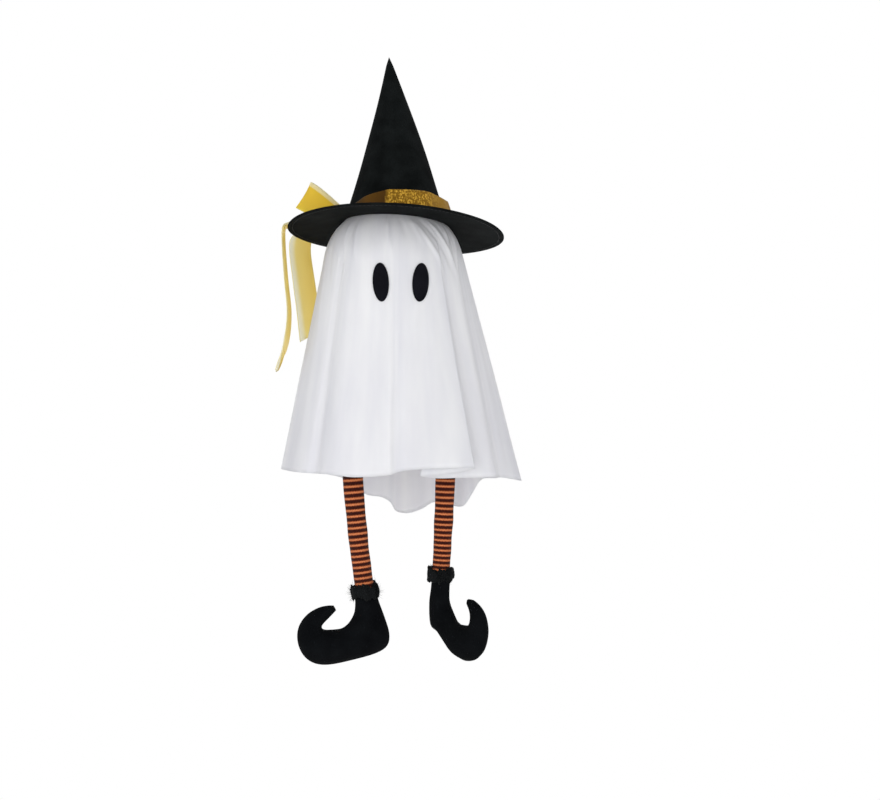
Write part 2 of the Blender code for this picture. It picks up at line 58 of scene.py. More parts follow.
def add_node(material, kind, values=None, links=None, stops=None, **settings):
    """Add a shader node with its settings, input values, links and colour stops."""
    added = material.node_tree.nodes.new("ShaderNode" + kind)
    for name, value in settings.items():
        setattr(added, name, value)
    for socket, value in (values or {}).items():
        added.inputs[socket].default_value = value
    for socket, source in (links or {}).items():
        material.node_tree.links.new(source, added.inputs[socket])
    for index, (place, code) in enumerate(stops or []):
        ramp = added.color_ramp.elements
        stop = ramp[index] if index < 2 else ramp.new(place)
        stop.position = place
        stop.color = linear(code)
    return added


def new_material(name, colour, roughness):
    """Start a material, and return it with its shader."""
    material = bpy.data.materials.new(name)
    material.use_nodes = True
    shader = material.node_tree.nodes["Principled BSDF"]
    shader.inputs["Base Color"].default_value = linear(colour)
    shader.inputs["Roughness"].default_value = roughness
    material.diffuse_color = linear(colour)
    return material, shader


# Expanded polystyrene: matte white, with the outlines of its 3 mm beads
foam, shader = new_material("expanded polystyrene", "F4F4F1", 0.75)
place = add_node(foam, "TexCoord")
beads = add_node(foam, "TexVoronoi", {"Scale": 1 / (3 * MM)}, {"Vector": place.outputs["Object"]},
                 feature="DISTANCE_TO_EDGE")
seams = add_node(foam, "ValToRGB", links={0: beads.outputs["Distance"]},
                 stops=[(0.0, "D9D9D4"), (0.12, "F4F4F1")])
dents = add_node(foam, "Bump", {"Strength": 0.5, "Distance": 0.3 * MM},
                 {"Height": beads.outputs["Distance"]})
foam.node_tree.links.new(seams.outputs["Color"], shader.inputs["Base Color"])
foam.node_tree.links.new(dents.outputs["Normal"], shader.inputs["Normal"])
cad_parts["head_ball"].data.materials.clear()
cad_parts["head_ball"].data.materials.append(foam)

# Sheet: thin white polyester satin laid over the ball. The hat pinches it into
# wrinkles, and it falls from there in soft folds to a raw hem, with one deep fold
# at the front right that laps over itself.
CLOTH_RADIUS, PRESSED_RADIUS = 69.0 * MM, 68.4 * MM
CLOTH_WALL = 0.45 * MM
HEM_LEFT, HEM_RIGHT, HEM_FRONT, HEM_BACK = 104.5 * MM, 114.5 * MM, 84 * MM, 88 * MM
CAP_RINGS, SKIRT_RINGS, FOLD_CELLS = 40, 48, 8
BALL_SPAN, SKIRT_SPAN = 69.5, 170

# Each row is a line of the cloth: degrees from the front towards the right at the
# head and at the hem, how far it stands out at both, and how low its hem hangs
FOLDS = [
    (-180, -180, 0.0, -1.0, 241.5),
    (-177, -177, 0.2, 1.5, 233.0),
    (-172, -172, 0.5, 6.0, 227.5),
    (-163, -163, 0.0, 8.0, 224.0),
    (-149, -150, -0.2, -1.0, 208.0),
    (-133, -134, 0.8, 9.0, 201.0),
    (-117, -118, 0.0, 0.5, 198.5),
    (-104, -104, 0.6, 6.5, 196.0),
    (-90, -90, 0.3, 6.5, 194.0),
    (-70, -72, 0.2, 4.5, 194.5),
    (-52, -56, 0.5, 7.0, 195.0),
    (-43, -47, 0.6, 6.8, 195.5),
    (-37, -42.5, -0.3, 2.2, 196.0),
    (-32, -37, 0.5, 5.8, 196.0),
    (-26, -28, 1.0, 9.0, 196.5),
    (-17, -19, 0.5, 6.0, 198.5),
    (-8, -9, 0.0, 1.8, 198.0),
    (-1, -1.5, -0.5, -2.5, 197.0),
    (2.5, 2, 0.4, 3.0, 194.5),
    (7, 7, 0.8, 7.5, 192.0),
    (15, 17, 0.5, 6.0, 190.8),
    (24, 28, 0.8, 8.5, 190.5),
    (31, 38, 1.1, 10.0, 190.5),
    (32.5, 31, 0.3, 5.5, 194.0),
    (33, 22, -0.2, 1.5, 197.0),
    (33.5, 14, -0.5, -1.5, 198.0),
    (34.5, 23, -0.5, -3.2, 200.0),
    (37, 34, -0.4, -2.5, 200.0),
    (42, 43, 0.2, 1.5, 200.0),
    (50, 53, 0.8, 8.0, 200.0),
    (57, 60, 0.1, 2.0, 200.5),
    (62, 65, 0.0, 0.5, 201.0),
    (72, 74, 0.2, 5.0, 203.0),
    (90, 90, 0.5, 12.0, 206.0),
    (110, 111, 0.0, 1.0, 204.0),
    (124, 124, 0.6, 8.0, 206.0),
    (135, 135, 0.8, 9.0, 208.0),
    (139, 139, 0.2, 4.0, 222.0),
    (143, 143, -0.2, 1.0, 235.0),
    (151, 152, 0.7, 8.0, 236.0),
    (160, 161, 0.5, 7.0, 232.5),
    (167, 167, 0.1, 2.0, 239.5),
    (174, 174, 0.2, 1.5, 244.0),
]
CLOTH_COLUMNS = len(FOLDS) * FOLD_CELLS

# Each wrinkle runs from a turn and a length of cloth below the pole to another,
# with how far it stands out and its half width, in degrees and millimetres. The
# cloth is BALL_SPAN long for a radian on the ball, and SKIRT_SPAN for its fall
WRINKLES = [
    (-5, 54, -1, 94, 1.7, 2.0),
    (-9, 54, -6, 80, -1.0, 2.2),
    (-15, 58, -11, 88, -1.0, 2.6),
    (-23, 60, -18, 94, -1.0, 2.6),
    (-30, 60, -25, 100, 1.4, 2.2),
    (-36, 60, -31, 84, -0.9, 2.2),
    (-42, 62, -36, 98, 1.1, 2.3),
    (-49, 92, -31, 113, 1.5, 1.9),
    (-45, 98, -27, 119, -0.9, 2.0),
    (-60, 72, -50, 122, -0.9, 3.2),
    (6, 54, 9, 80, -0.9, 2.2),
    (12, 54, 20, 84, 1.0, 2.0),
    (15, 58, 35, 110, 1.5, 2.2),
    (20, 54, 43, 104, -1.2, 2.0),
    (30, 56, 49, 106, 1.5, 2.0),
    (40, 62, 47, 86, -0.8, 1.8),
    (50, 68, 45, 90, 1.6, 1.6),
    (56, 66, 50, 98, -1.0, 1.9),
    (62, 70, 53, 108, 1.7, 1.7),
    (-8, 100, -14, 150, -0.8, 4.0),
    (18, 104, 12, 160, 0.8, 4.0),
    (-68, 92, -58, 150, 0.9, 2.8),
]
for pleat in range(17):
    pleat_turn = 76 + pleat * 12.5
    ends = (pleat_turn, 62, pleat_turn + 4, 92 + 9 * (pleat % 3))
    WRINKLES.append((*ends, 0.6 - 1.2 * (pleat % 2), 3.0))


def round_cells(first, last, columns):
    """Spin a line into rings of cells, and note each point's ring and column."""
    bm = bmesh.new()
    line = [bm.verts.new((ring, 0.0, 0.0)) for ring in range(first, last + 1)]
    for inner, outer in zip(line, line[1:]):
        bm.edges.new((inner, outer))
    bmesh.ops.spin(bm, geom=bm.verts[:] + bm.edges[:], cent=(0, 0, 0), axis=(0, 0, 1),
                   angle=math.tau, steps=columns, use_merge=True)
    bmesh.ops.remove_doubles(bm, verts=bm.verts, dist=0.001)
    cells = {}
    for point in bm.verts:
        turn = math.atan2(point.co.y, point.co.x) % math.tau
        cells[point] = (round(point.co.length), round(turn * columns / math.tau) % columns)
    return bm, cells


def shape_cells(bm, cells, columns, where, cloth):
    """Move each point to where(ring, column), and lay the cloth's own plan in the UV map."""
    plan = bm.loops.layers.uv.new("cloth")
    for face in bm.faces:
        spots = [cells[corner.vert] for corner in face.loops]
        turned = [column for ring, column in spots if ring > 0]
        wraps = max(turned) - min(turned) > columns / 2
        for corner, (ring, column) in zip(face.loops, spots):
            if ring == 0:
                column = sum(turned) / len(turned)
            elif wraps and column < columns / 2:
                column += columns
            corner[plan].uv = cloth(ring, column)
    for point, (ring, column) in cells.items():
        point.co = where(ring, column)


def face_away(bm, middle):
    """Make an open surface face away from its middle."""
    bmesh.ops.recalc_face_normals(bm, faces=bm.faces)
    if sum(face.normal.dot(face.calc_center_median() - middle) for face in bm.faces) < 0:
        bmesh.ops.reverse_faces(bm, faces=bm.faces)


def add_piece(name, bm, material, wall=0.0):
    """Turn a bmesh into a smooth piece, with a wall inside an open surface."""
    mesh = bpy.data.meshes.new(name)
    bm.to_mesh(mesh)
    bm.free()
    mesh.shade_smooth()
    mesh.materials.append(material)
    piece = bpy.data.objects.new(name, mesh)
    bpy.context.scene.collection.objects.link(piece)
    if wall:
        cloth = piece.modifiers.new("wall", "SOLIDIFY")
        cloth.thickness = wall
        cloth.offset = -1
    return piece


def between(table, place, lap=None):
    """Read a table between its rows along a smooth curve. A round table's first
    columns grow by lap each time it comes round."""
    start = math.floor(place)
    share = place - start
    rows = []
    for index in range(start - 1, start + 3):
        if lap:
            times, index = divmod(index, len(table))
            rows.append([value + times * grow for value, grow in zip(table[index], lap)])
        else:
            rows.append(table[min(max(index, 0), len(table) - 1)])
    a, b, c, d = (Vector(row) for row in rows)
    curve = 2 * b + (c - a) * share + (2 * a - 5 * b + 4 * c - d) * share ** 2
    return (curve + (3 * b - a - 3 * c + d) * share ** 3) / 2


def smoothstep(value):
    """Rise softly from 0 to 1."""
    value = min(max(value, 0.0), 1.0)
    return value * value * (3 - 2 * value)


def wrinkled(degrees, down):
    """How far the wrinkles under the hat stand out, in millimetres."""
    out = 0.0
    for start_turn, start_down, end_turn, end_down, height, width in WRINKLES:
        along = (down - start_down) / (end_down - start_down)
        if -0.3 < along < 1.3:
            turn = start_turn + (end_turn - start_turn) * along
            off = (degrees - turn + 180) % 360 - 180
            round_head = BALL_SPAN * math.sin(min(down / BALL_SPAN, math.pi / 2))
            away = math.radians(off) * round_head / width
            fade = smoothstep((0.3 + along) * 1.6) * smoothstep((1.3 - along) * 1.6)
            out += height * math.exp(-away * away) * fade
    return out


def cloth_point(ring, column):
    """Place one point of the sheet: on the ball, then on a straight fall to the hem."""
    lines = between(FOLDS, column / FOLD_CELLS, (360, 360, 0, 0, 0))
    head_turn, hem_turn, head_out, hem_out, drop = lines
    share = max(0.0, (ring - CAP_RINGS) / SKIRT_RINGS)
    degrees = head_turn + (hem_turn - head_turn) * share ** 0.7
    turn = math.radians(degrees)
    side = HEM_RIGHT if math.sin(turn) > 0 else HEM_LEFT
    ahead = HEM_FRONT if math.cos(turn) > 0 else HEM_BACK
    hem = Vector((side * math.sin(turn), -ahead * math.cos(turn)))
    reach, drop = hem.length, drop * MM
    leave = math.pi / 2 - math.atan2(reach, drop) + math.asin(CLOTH_RADIUS / math.hypot(reach, drop))
    polar = leave * min(1.0, ring / CAP_RINGS)
    loose = smoothstep((math.degrees(polar) - 42) / 14)
    on_ball = PRESSED_RADIUS + (CLOTH_RADIUS - PRESSED_RADIUS) * loose
    radius, height = on_ball * math.sin(polar), on_ball * math.cos(polar)
    out = head_out * smoothstep((math.degrees(polar) - 55) / 35)
    down = polar * BALL_SPAN
    if share:
        radius += (reach - radius) * share
        height -= (drop + height) * share
        out = head_out + (hem_out - head_out) * share ** 1.1
        down += share * SKIRT_SPAN
    out += loose * wrinkled(degrees, down)
    spot = Vector((math.sin(turn) * 3.2, math.cos(turn) * 3.2, height * 6))
    out += (0.2 * loose + 1.5 * share) * noise.noise(spot)
    spot = Vector((math.sin(turn) * 11, math.cos(turn) * 11, height * 9))
    out += (0.1 * loose + 0.5 * share) * noise.noise(spot)
    flat = hem.normalized() * (radius + max(out, -0.8 - 4 * share) * MM)
    return HEAD + Vector((flat.x, flat.y, height))


def cloth_plan(ring, column):
    """Place one point on the flat cloth, in metres round and down."""
    return (column / CLOTH_COLUMNS * 0.6, ring / (CAP_RINGS + SKIRT_RINGS) * 0.3)


# Polyester satin: bright white with a soft sheen along its folds, and thin enough
# to let some light through. Its threads lie 0.1 mm apart, and are drawn 0.9 mm
# apart here, so that they show at all
satin, shader = new_material("white polyester satin", "F1F1F4", 0.46)
shader.inputs["Sheen Weight"].default_value = 0.1
shader.inputs["Sheen Roughness"].default_value = 0.4
shader.inputs["Specular IOR Level"].default_value = 0.45
place = add_node(satin, "UVMap", uv_map="cloth")
warp = add_node(satin, "TexWave", {"Scale": 0.314 / (0.9 * MM)}, {"Vector": place.outputs["UV"]},
                bands_direction="X")
weft = add_node(satin, "TexWave", {"Scale": 0.314 / (0.9 * MM)}, {"Vector": place.outputs["UV"]},
                bands_direction="Y")
threads = add_node(satin, "Math", links={0: warp.outputs["Fac"], 1: weft.outputs["Fac"]},
                   operation="MULTIPLY")
weave = add_node(satin, "Bump", {"Strength": 0.1, "Distance": 0.1 * MM},
                 {"Height": threads.outputs["Value"]})
stretch = add_node(satin, "Mapping", {"Scale": (60, 9, 1)}, {"Vector": place.outputs["UV"]})
creases = add_node(satin, "TexNoise", {"Scale": 1.0, "Detail": 3.0},
                   {"Vector": stretch.outputs["Vector"]})
falls = add_node(satin, "Bump", {"Strength": 0.3, "Distance": 1.5 * MM},
                 {"Height": creases.outputs["Fac"], "Normal": weave.outputs["Normal"]})
# The same noise also paints the crease valleys a little greyer than their ridges: painted shade in
# the creases
tint = add_node(satin, "ValToRGB", links={0: creases.outputs["Fac"]},
                stops=[(0.3, "EBEBEF"), (0.7, "F6F6F7")])
through = add_node(satin, "BsdfTranslucent", links={0: tint.outputs["Color"]})
thin = add_node(satin, "MixShader", {0: 0.3}, {1: shader.outputs[0], 2: through.outputs[0]})
satin.node_tree.links.new(tint.outputs["Color"], shader.inputs["Base Color"])
satin.node_tree.links.new(falls.outputs["Normal"], shader.inputs["Normal"])
satin.node_tree.links.new(thin.outputs[0], satin.node_tree.nodes["Material Output"].inputs[0])

bm, cells = round_cells(0, CAP_RINGS + SKIRT_RINGS, CLOTH_COLUMNS)
shape_cells(bm, cells, CLOTH_COLUMNS, cloth_point, cloth_plan)
face_away(bm, HEAD)
sheet = add_piece("sheet", bm, satin, CLOTH_WALL)
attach(sheet, "root")
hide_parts("ghost_sheet")

# Eyes: two ovals cut from thin black felt and glued to the front of the sheet,
# with their tops leaning apart. They follow the cloth under them.
EYE_WIDTH, EYE_HEIGHT, EYE_WALL = 15.4 * MM, 36.8 * MM, 0.8 * MM
EYE_SPACING, EYE_MIDDLE, EYE_LEAN = 37.5 * MM, 13.4 * MM, math.radians(2.7)
EYE_LEVEL = HEAD.z - 15.9 * MM
EYE_RINGS, EYE_COLUMNS = 8, 48


def felt_material(name, dark, light):
    """Felt: matted fibres that scatter light, with a soft bloom at grazing angles.
    Real fibres are 0.02 mm thick, and their clumps are drawn 1 mm wide here."""
    felt, shader = new_material(name, dark, 0.92)
    shader.inputs["Sheen Weight"].default_value = 0.005
    shader.inputs["Sheen Roughness"].default_value = 0.6
    shader.inputs["Specular IOR Level"].default_value = 0.03
    place = add_node(felt, "TexCoord")
    fibres = add_node(felt, "TexNoise", {"Scale": 1 / (1.0 * MM), "Detail": 4.0, "Roughness": 0.7},
                      {"Vector": place.outputs["Object"]})
    clouds = add_node(felt, "TexNoise", {"Scale": 1 / (18 * MM), "Detail": 2.0},
                      {"Vector": place.outputs["Object"]})
    mixed = add_node(felt, "Math", links={0: fibres.outputs["Fac"], 1: clouds.outputs["Fac"]},
                     operation="MULTIPLY")
    tint = add_node(felt, "ValToRGB", links={0: mixed.outputs["Value"]},
                    stops=[(0.12, dark), (0.42, light)])
    nap = add_node(felt, "Bump", {"Strength": 0.5, "Distance": 0.25 * MM},
                   {"Height": fibres.outputs["Fac"]})
    felt.node_tree.links.new(tint.outputs["Color"], shader.inputs["Base Color"])
    felt.node_tree.links.new(nap.outputs["Normal"], shader.inputs["Normal"])
    return felt


eye_felt = felt_material("thin black felt", "0E0E13", "17171D")
dg = bpy.context.evaluated_depsgraph_get()
cloth_front = BVHTree.FromObject(sheet, dg)
for name, side in (("left", -1), ("right", 1)):
    def eye_point(ring, column):
        """Place one point of an eye on the cloth behind it."""
        turn = math.tau * column / EYE_COLUMNS
        across = EYE_WIDTH / 2 * ring / EYE_RINGS * math.cos(turn)
        up = EYE_HEIGHT / 2 * ring / EYE_RINGS * math.sin(turn)
        x = EYE_MIDDLE + side * EYE_SPACING / 2 + across + side * up * math.tan(EYE_LEAN)
        start = Vector((x, HEAD.y - 0.2, EYE_LEVEL + up))
        hit = cloth_front.ray_cast(start, Vector((0, 1, 0)))[0]
        return hit + Vector((0, -0.35 * MM - EYE_WALL, 0))

    bm, cells = round_cells(0, EYE_RINGS, EYE_COLUMNS)
    shape_cells(bm, cells, EYE_COLUMNS, eye_point, lambda ring, column: (ring * MM, column * MM))
    face_away(bm, HEAD)
    eye = add_piece("eye_oval_" + name, bm, eye_felt, EYE_WALL)
    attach(eye, "root")
    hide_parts("eye_" + name)

# Hat: black craft felt 2 mm thick. The brim is a ring with a drooping edge, pressed
# down on the sheet, and the crown is a rolled cone sewn to it. Both tilt back and
# to the right round the middle of the ball, and the cone's tip is at the origin.
HAT = (Matrix.Translation(HEAD) @ Matrix.Rotation(math.radians(3.2), 4, "Y")
       @ Matrix.Rotation(math.radians(-7.5), 4, "X"))
HAT_COLUMNS = 144
BRIM_FELT, CROWN_FELT = 2.0 * MM, 1.5 * MM
BRIM_OPENING, BRIM_RADIUS = 49.6 * MM, 106.6 * MM
BRIM_EDGE_HEIGHT, BRIM_DROOP, BRIM_CURVE = 38.1 * MM, 5.0 * MM, 1.2
BRIM_HUG, BRIM_HUG_WIDTH = 4.6 * MM, 2.6 * MM
TIP = HAT.inverted() @ Vector((0, 0, 0))
CROWN_FOOT, CROWN_BASE = 51.1 * MM, 47.9 * MM
CROWN_HEIGHT, CROWN_BOW = TIP.z - CROWN_BASE, 2.0 * MM
CROWN_TIP, CROWN_FLARE, CROWN_FLARE_HEIGHT = 0.8 * MM, 1.0 * MM, 7 * MM

hat_felt = felt_material("black craft felt", "090B0B", "191C1C")


def brim_share(radius):
    """How far out on the brim a radius lies, from 0 at its opening to 1 at its edge."""
    return max(0.0, (radius - BRIM_OPENING) / (BRIM_RADIUS - BRIM_OPENING))


def brim_height(radius):
    """Height of the brim's underside, which hugs the sheet and droops to its edge."""
    hug = BRIM_HUG * math.exp(-(radius - BRIM_OPENING) / BRIM_HUG_WIDTH)
    return BRIM_EDGE_HEIGHT + BRIM_DROOP * (1 - brim_share(radius) ** BRIM_CURVE) + hug


def crown_radius(height):
    """Outer radius of the cone at a height over its foot."""
    flare = CROWN_FLARE * (1 - smoothstep(height / CROWN_FLARE_HEIGHT))
    return CROWN_TIP + (CROWN_FOOT - CROWN_TIP) * (1 - height / CROWN_HEIGHT) + flare


def hat_point(turn, radius, height):
    """Place a point by its turn from the front, in the hat's own tilted frame."""
    share = max(0.0, (height - CROWN_BASE) / CROWN_HEIGHT)
    lean = Vector((TIP.x * share + CROWN_BOW * math.sin(math.pi * share), TIP.y * share, 0))
    return HAT @ (Vector((radius * math.sin(turn), -radius * math.cos(turn), height)) + lean)


top = [BRIM_OPENING + (BRIM_RADIUS - BRIM_OPENING) * (step / 24) ** 1.6 for step in range(24)]
brim_line = [(radius, brim_height(radius) + BRIM_FELT) for radius in top]
edge = brim_height(BRIM_RADIUS) + BRIM_FELT / 2
brim_line += [(BRIM_RADIUS - 0.5 * MM, edge + 0.85 * MM), (BRIM_RADIUS - 0.1 * MM, edge + 0.4 * MM),
              (BRIM_RADIUS - 0.1 * MM, edge - 0.4 * MM), (BRIM_RADIUS - 0.5 * MM, edge - 0.85 * MM)]
brim_line += [(radius, brim_height(radius)) for radius in reversed(top)]


def brim_wave(turn, radius):
    """How far the brim's edge waves up in front and down at the left."""
    wave = 1.6 * math.cos(2 * turn) + 1.2 * math.sin(turn)
    wave += 0.5 * noise.noise(Vector((math.sin(turn), math.cos(turn), 7.0)) * 1.7)
    return wave * brim_share(radius) ** 2 * MM


def brim_point(ring, column):
    """Place one point of the brim."""
    radius, height = brim_line[ring - 1]
    turn = math.tau * column / HAT_COLUMNS
    return hat_point(turn, radius, height + brim_wave(turn, radius))


bm, cells = round_cells(1, len(brim_line), HAT_COLUMNS)
shape_cells(bm, cells, HAT_COLUMNS, brim_point, lambda ring, column: (column * 4 * MM, ring * 2 * MM))
ends = {1: [], len(brim_line): []}
for edge in bm.edges:
    rings = {cells[point][0] for point in edge.verts}
    if len(rings) == 1 and rings <= ends.keys():
        ends[rings.pop()].append(edge)
bmesh.ops.bridge_loops(bm, edges=ends[1] + ends[len(brim_line)])
bmesh.ops.recalc_face_normals(bm, faces=bm.faces)
brim = add_piece("felt_brim", bm, hat_felt)
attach(brim, "root")
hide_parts("hat_brim")

CROWN_RINGS, HOLLOW_RINGS, HOLLOW_SHARE = 40, 12, 0.93


def crown_point(ring, column):
    """Place one point of the cone. It has soft dents, and a seam at its back."""
    turn = math.tau * column / HAT_COLUMNS
    if ring <= CROWN_RINGS:
        height = CROWN_HEIGHT * (1 - ring / CROWN_RINGS) ** 1.1
        radius = crown_radius(height) * min(1.0, (ring / 1.5) ** 0.5)
    else:
        height = CROWN_HEIGHT * HOLLOW_SHARE * (ring - CROWN_RINGS - 1) / HOLLOW_RINGS
        radius = max(crown_radius(height) - CROWN_FELT, 0.15 * MM)
    share = height / CROWN_HEIGHT
    soft = math.sin(math.pi * min(1.0, share * 1.05)) ** 0.8 if share < 0.95 else 0.0
    dents = noise.noise(Vector((math.sin(turn) * 1.6, math.cos(turn) * 1.6, share * 2.2 + 3.0)))
    seam = math.exp(-((column - HAT_COLUMNS / 2) / 0.9) ** 2) * 0.7 * min(1.0, radius / (8 * MM))
    return hat_point(turn, radius + (0.9 * soft * dents + seam) * MM, CROWN_BASE + height)


bm, cells = round_cells(0, CROWN_RINGS + 1 + HOLLOW_RINGS, HAT_COLUMNS)
shape_cells(bm, cells, HAT_COLUMNS, crown_point,
            lambda ring, column: (column * 2 * MM, ring * 4 * MM))
last = [edge for edge in bm.edges if edge.is_boundary]
bmesh.ops.contextual_create(bm, geom=last)
bmesh.ops.recalc_face_normals(bm, faces=bm.faces)
crown = add_piece("felt_crown", bm, hat_felt)
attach(crown, "root")
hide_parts("hat_crown")

# Brim stitching: one row of black polyester thread 5 mm inside the edge, sewn by
# machine, with a stitch every 4 mm on both faces.
STITCH_RADIUS, STITCH_LENGTH, STITCH_THICK = BRIM_RADIUS - 5 * MM, 3.0 * MM, 0.4 * MM
STITCH_STEP, STITCH_RISE = 4 * MM, 0.1 * MM
STITCH_COUNT = round(math.tau * STITCH_RADIUS / STITCH_STEP)

# Spun polyester thread: dark grey, and a little glossier than the felt round it
thread, shader = new_material("spun polyester thread", "202123", 0.55)
place = add_node(thread, "TexCoord")
ply = add_node(thread, "TexNoise", {"Scale": 1 / (0.6 * MM)}, {"Vector": place.outputs["Object"]})
tint = add_node(thread, "ValToRGB", links={0: ply.outputs["Fac"]},
                stops=[(0.3, "18191B"), (0.7, "2A2B2E")])
thread.node_tree.links.new(tint.outputs["Color"], shader.inputs["Base Color"])

bm = bmesh.new()
for face_height in (BRIM_FELT + STITCH_RISE, -STITCH_RISE):
    for index in range(STITCH_COUNT):
        turn = math.tau * index / STITCH_COUNT
        level = brim_height(STITCH_RADIUS) + brim_wave(turn, STITCH_RADIUS)
        spot = hat_point(turn, STITCH_RADIUS, level + face_height)
        lie = HAT.to_3x3().to_4x4() @ Matrix.Rotation(turn, 4, "Z")
        size = Matrix.Diagonal((STITCH_LENGTH, STITCH_THICK, STITCH_THICK, 1))
        bmesh.ops.create_uvsphere(bm, u_segments=6, v_segments=4, radius=0.5,
                                  matrix=Matrix.Translation(spot) @ lie @ size)
stitches = add_piece("brim_stitches", bm, thread)
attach(stitches, "root")

# Band: gold organza ribbon folded to 15 mm wide, wound round the foot of the cone
# and glued. It climbs from the left to the right, and stands off the cone at the
# right. It is painted gold with painted glints at the front, partly where it is
# doubled and partly as a painted highlight, and brown at the back and the left,
# partly one sheer layer over black felt and partly painted shade.
RIBBON_WALL = 0.4 * MM
BAND_CELLS, BAND_RINGS = 20, 12

# Degrees from the front, the heights of its edges, and how far it stands off
BAND = [
    (-180, 5.0, 17.0, 0.3),
    (-120, 3.5, 11.0, 0.3),
    (-62, 3.5, 10.0, 0.3),
    (-38, 4.0, 16.0, 0.3),
    (-14, 4.0, 20.4, 0.4),
    (-8, 4.0, 21.4, 0.8),
    (14, 5.0, 22.6, 0.5),
    (44, 7.0, 24.8, 0.5),
    (60, 7.5, 24.2, 1.2),
    (76, 8.0, 23.0, 4.6),
    (90, 8.0, 23.0, 6.8),
    (112, 8.5, 23.0, 1.2),
    (145, 7.0, 20.0, 0.4),
]
BAND_COLUMNS = len(BAND) * BAND_CELLS


def band_point(ring, column):
    """Place one point of the band, with slanting wrinkles between its two edges."""
    degrees, low, high, off = between(BAND, column / BAND_CELLS, (360, 0, 0, 0))
    turn, share = math.radians(degrees), (ring - 1) / (BAND_RINGS - 1)
    height = (low + (high - low) * share) * MM
    wrinkle = noise.noise(Vector((degrees * 0.05 + share * 0.9, share * 2.2, 1.0)))
    fold = math.exp(-((degrees + 12 - 2 * share) / 3.0) ** 2)
    soft = math.sin(math.pi * share) ** 0.5
    off = max(off, 0.3) + 0.4 + soft * (0.5 * abs(wrinkle) + 0.7 * fold)
    return hat_point(turn, crown_radius(height) + off * MM, CROWN_BASE + height)


# Gold organza with glitter, a sheer ribbon over black felt. Its colour round the cone
# is brown at the back and the left, partly one layer and partly painted shade, gold
# at the front, partly doubled cloth and partly a painted highlight, and darker again
# at the right as painted shade. Its glitter flakes are 0.4 mm wide, and 1.4 mm here
gold, shader = new_material("gold glitter organza", "8A641C", 0.45)
shader.inputs["Specular IOR Level"].default_value = 0.1
place = add_node(gold, "UVMap", uv_map="cloth")
parts = add_node(gold, "SeparateXYZ", links={0: place.outputs["UV"]})
# Tone round the cone, partly its layers and partly painted light: painted shade at the back, the left
# and the right, a painted highlight at the front
layers = add_node(gold, "ValToRGB", links={0: parts.outputs["X"]},
                  stops=[(0.32, "2E1F06"), (0.36, "402A05"), (0.40, "5F3F0A"), (0.465, "4C3106"),
                         (0.474, "7E5B12"), (0.61, "866012"), (0.66, "97701C"), (0.71, "9E7620"),
                         (0.76, "6E5012"), (0.84, "3E2B08")])
flat = add_node(gold, "Mapping", {"Scale": (0.33, 0.015, 1)}, {"Vector": place.outputs["UV"]})
glints = add_node(gold, "TexVoronoi", {"Scale": 1 / (1.4 * MM)}, {"Vector": flat.outputs["Vector"]})
glint_grey = add_node(gold, "SeparateColor", links={0: glints.outputs["Color"]})
bright = add_node(gold, "ValToRGB", links={0: glint_grey.outputs["Red"]},
                  stops=[(0.5, "000000"), (0.95, "FFFFFF")])
# The glitter flakes are painted as light gold spots over the front only, where the light catches
# them: painted glints
glint_lit_front_mask = add_node(gold, "ValToRGB", links={0: parts.outputs["X"]},
                 stops=[(0.465, "000000"), (0.476, "FFFFFF"), (0.61, "FFFFFF"), (0.68, "606060")])
where = add_node(gold, "Math", links={0: bright.outputs["Color"], 1: glint_lit_front_mask.outputs["Color"]},
                 operation="MULTIPLY")
tone_with_painted_glints = add_node(gold, "Mix", {7: linear("D8A83C")}, {0: where.outputs["Value"],
                  6: layers.outputs["Color"]}, data_type="RGBA")
# Both edges are painted a lighter gold, the lower one more: a painted highlight along the edges
edge_highlight_mask = add_node(gold, "ValToRGB", links={0: parts.outputs["Y"]},
                stops=[(0.02, "606060"), (0.06, "000000"), (0.94, "000000"), (0.99, "303030")])
tone_with_edge_highlight = add_node(gold, "Mix", {7: linear("A87F2C")}, {0: edge_highlight_mask.outputs["Color"],
                 6: tone_with_painted_glints.outputs[2]}, data_type="RGBA")
grain = add_node(gold, "Bump", {"Strength": 0.4, "Distance": 0.2 * MM},
                 {"Height": glint_grey.outputs["Red"]})
gold.node_tree.links.new(tone_with_edge_highlight.outputs[2], shader.inputs["Base Color"])
gold.node_tree.links.new(grain.outputs["Normal"], shader.inputs["Normal"])

bm, cells = round_cells(1, BAND_RINGS, BAND_COLUMNS)
shape_cells(bm, cells, BAND_COLUMNS, band_point,
            lambda ring, column: (between(BAND, column / BAND_CELLS, (360, 0, 0, 0))[0] / 360 + 0.5,
                                  (ring - 1) / (BAND_RINGS - 1)))
face_away(bm, hat_point(0, 0, CROWN_BASE))
band = add_piece("ribbon_round_hat", bm, gold, RIBBON_WALL)
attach(band, "root")
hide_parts("ribbon_band")

# Bow: sheer yellow organza ribbon 30 mm wide, tied at the back left of the cone. A
# knot holds two flattened loops and two tails, and the tails cross the brim and
# hang over its edge. The wide tail shows its face, the narrow one its edge.
RIBBON_HALF, LOOP_HALF_AT_KNOT, TAIL_HALF_AT_KNOT = 15 * MM, 9.5 * MM, 5 * MM
KNOT_TURN, KNOT_STANDOFF, KNOT_HEIGHT = math.radians(-120), 7.7 * MM, 53.5 * MM
KNOT = hat_point(KNOT_TURN, crown_radius(0) + KNOT_STANDOFF, KNOT_HEIGHT)
LOOP_LENGTH, LOOP_SWELL, LOOP_STEPS = 50 * MM, 4.5 * MM, 14
GATHER_HEIGHT, TAIL_RISE = 1.3 * MM, 2.2 * MM
ACROSS_CELLS, ALONG_CELLS = 18, 8


